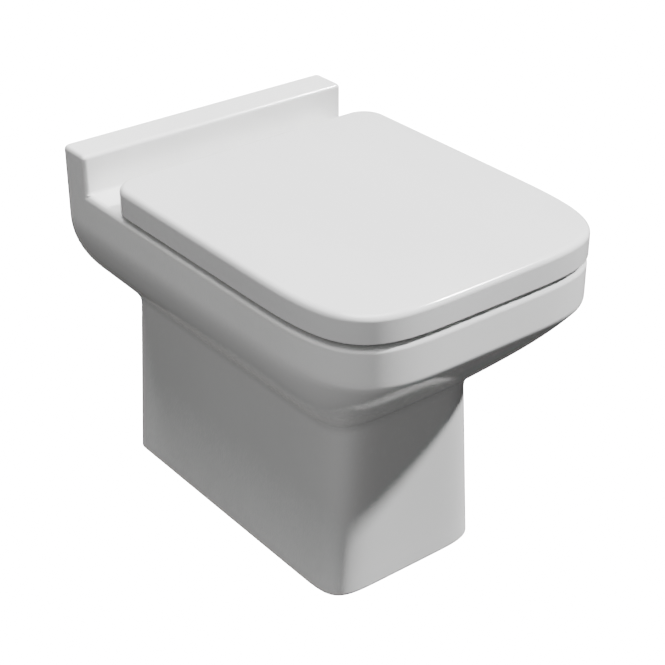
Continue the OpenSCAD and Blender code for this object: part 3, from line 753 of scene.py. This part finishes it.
seat = {"clear": 0.003, "thick": 0.017, "foot": 0.006, "rear": 0.148, "corner": 0.026,
        "holeHalf": 0.108, "holeRear": 0.190, "holeFront": 0.466, "holeCorner": 0.084,
        "holePower": 2.8, "slope": 0.022, "slopePower": 1.5, "slopeDrop": 0.010, "edge": 0.003,
        "underIn": 0.002, "shoulderIn": 0.0055, "shoulderDrop": 0.006, "holeIn": 0.0025,
        "armBack": 0.006, "armUp": 0.002, "armDown": 0.003}


def seatRing():
    z0, thick, edge = pan["rim"] + seat["foot"], seat["thick"], seat["edge"]
    half = pan["width"] / 2 + lid["over"] - lid["skirt"] - seat["clear"]
    front = pan["depth"] + lid["over"] - lid["skirt"] - seat["clear"]
    outer = [(seat["underIn"] * (1 - math.sin(t)), edge * (1 - math.cos(t))) for t in quarter(6)]
    outer += [(seat["shoulderIn"] * (1 - math.cos(t)),
               thick - seat["shoulderDrop"] * (1 - math.sin(t))) for t in quarter(9)]
    inner = [(seat["slope"] * (1 - math.sin(t)) ** seat["slopePower"],
              thick - seat["slopeDrop"] * (1 - math.cos(t))) for t in quarter(12)]
    inner += [(seat["holeIn"] * (1 - math.cos(t)), edge * (1 - math.sin(t))) for t in quarter(6)]
    rings = [planRing(half - p, seat["rear"] + p, seat["corner"] - p, pan["sideDepth"],
                      front - p, pan["rimPower"], z0 + up) for p, up in outer]
    rings += [planRing(seat["holeHalf"] + p, seat["holeRear"] - p, seat["holeCorner"] + p,
                       pan["sideDepth"], seat["holeFront"] + p, seat["holePower"], z0 + up)
              for p, up in inner]
    return pullThrough("seat", rings, duroplast, looped=True)


def makeSeat():
    ring = seatRing()
    y, z0 = wallY - hinge["axisDepth"], pan["rim"] + seat["foot"]
    lugIn = hinge["blockWidth"] / 2 + hinge["play"]
    lugs, holes = [], []
    for side in (-1, 1):
        middle = side * hinge["span"] / 2
        x0, x1 = sorted((middle - side * lugIn, middle - side * (lugIn + hinge["lug"])))
        lug = axisBar(x0, x1, hinge["barrel"] - hinge["barrelPlay"], duroplast)
        arm = addBlock((x0, wallY - seat["rear"] - seat["armBack"], z0 + seat["armUp"]),
                       (x1, y, z0 + seat["thick"] - seat["armDown"]), duroplast)
        lugs.append(combine(lug, "UNION", [arm]))
        across = hinge["bush"] if side < 0 else hinge["pin"]
        far = lugIn + hinge["lug"] + (past if side < 0 else -hinge["lugEnd"])
        holes.append(axisBar(middle - side * (lugIn - past), middle - side * far,
                             across + hinge["fit"], duroplast, 48))
    combine(ring, "UNION", lugs)
    combine(ring, "DIFFERENCE", holes)
    finishSurface(ring)
    settle(ring, "seatRing", "seat", "duroplast", "seat_ring")


makeSeat()


# the small pieces keep their solids and get their finish

finishOf = {
    bareChina: ("inlet_horn",),
    chrome: ("left_hinge_block", "right_hinge_block", "left_release_button",
             "right_release_button", "left_base_plate", "right_base_plate"),
    steel: ("left_damper_shaft", "right_damper_shaft", "left_pivot_pin", "right_pivot_pin",
            "left_hinge_post", "right_hinge_post", "fixing_studs", "left_button_spring",
            "right_button_spring"),
    nylon: ("left_damper", "right_damper", "left_pivot_bush", "right_pivot_bush", "wing_nuts"),
    rubber: ("seat_buffers", "lid_buffers", "hinge_gaskets", "under_washers")}
for finish, names in finishOf.items():
    for name in names:
        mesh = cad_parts[name].data
        mesh.materials.clear()
        mesh.materials.append(finish)
print("small pieces finished")


# floor, light and camera

studio = {"floor": 18, "floorSize": 40, "domeRadius": 15, "sky": 0.085,
          "paleLow": (0.8, 0.8, 0.8, 1), "paleHigh": (0.82, 0.82, 0.82, 1),
          "key": 7.5, "keyFrom": (0.579, -0.327, 0.747), "keySize": 4,
          "top": 5.8, "topFrom": (0, -0.04, 1), "topSize": 42,
          "back": 1.5, "backFrom": (0.3, 1, 0.22), "backSize": 50,
          "fill": 5.1, "fillAt": (-1.5, -0.7, 0.3), "fillAim": (0, 0, 0.2), "fillSize": 0.7,
          "camera": (-0.9723, -1.24265, 1.1577), "pitch": 29.917, "yaw": 38.057,
          "lens": 87.08, "sensor": 36}


def makeStudio():
    clearSelection()
    bpy.ops.mesh.primitive_plane_add(size=studio["floorSize"], location=(0, 0, 0))
    floor = bpy.context.object
    floor.name = "floor"
    bpy.ops.mesh.primitive_uv_sphere_add(segments=64, ring_count=32,
                                         radius=studio["domeRadius"])
    backdrop = bpy.context.object
    backdrop.name = "backdrop"
    pale = Finish("paleFloor")
    pale.surface(**{
        "Base Color": pale.colour(pale.noise(3, 3), studio["paleLow"], studio["paleHigh"]),
        "Roughness": 0.9, "Emission Color": (1, 1, 1, 1), "Emission Strength": studio["floor"],
        "Specular IOR Level": 0.0})
    for piece in (floor, backdrop):
        piece.data.materials.append(pale.material)
        piece.visible_diffuse = False
        piece.visible_glossy = False
        piece.visible_shadow = False
    world = bpy.data.worlds.new("softLight")
    bpy.context.scene.world = world
    world.use_nodes = True
    sky = world.node_tree.nodes["Background"]
    sky.inputs["Color"].default_value = (1, 1, 1, 1)
    sky.inputs["Strength"].default_value = studio["sky"]
    for name in ("key", "top", "back"):
        bpy.ops.object.light_add(type="SUN")
        lamp = bpy.context.object
        lamp.name = name + "Light"
        lamp.data.energy = studio[name]
        lamp.data.angle = math.radians(studio[name + "Size"])
        lamp.rotation_euler = Vector(studio[name + "From"]).to_track_quat("Z", "Y").to_euler()
        lamp.visible_glossy = name != "back"  # the back light only lifts, it shows in no gloss
    # a low softbox at the left lifts the shadow side towards the front
    bpy.ops.object.light_add(type="AREA", location=studio["fillAt"])
    lamp = bpy.context.object
    lamp.name = "fillLight"
    lamp.data.energy = studio["fill"]
    lamp.data.size = studio["fillSize"]
    aim = Vector(studio["fillAt"]) - Vector(studio["fillAim"])
    lamp.rotation_euler = aim.to_track_quat("Z", "Y").to_euler()
    lamp.visible_glossy = False
    bpy.ops.object.camera_add(location=studio["camera"], rotation=(
        math.radians(90 - studio["pitch"]), 0, math.radians(-studio["yaw"])))
    camera = bpy.context.object
    camera.data.lens = studio["lens"]
    camera.data.sensor_width = studio["sensor"]
    bpy.context.scene.camera = camera


makeStudio()
print("studio ready")
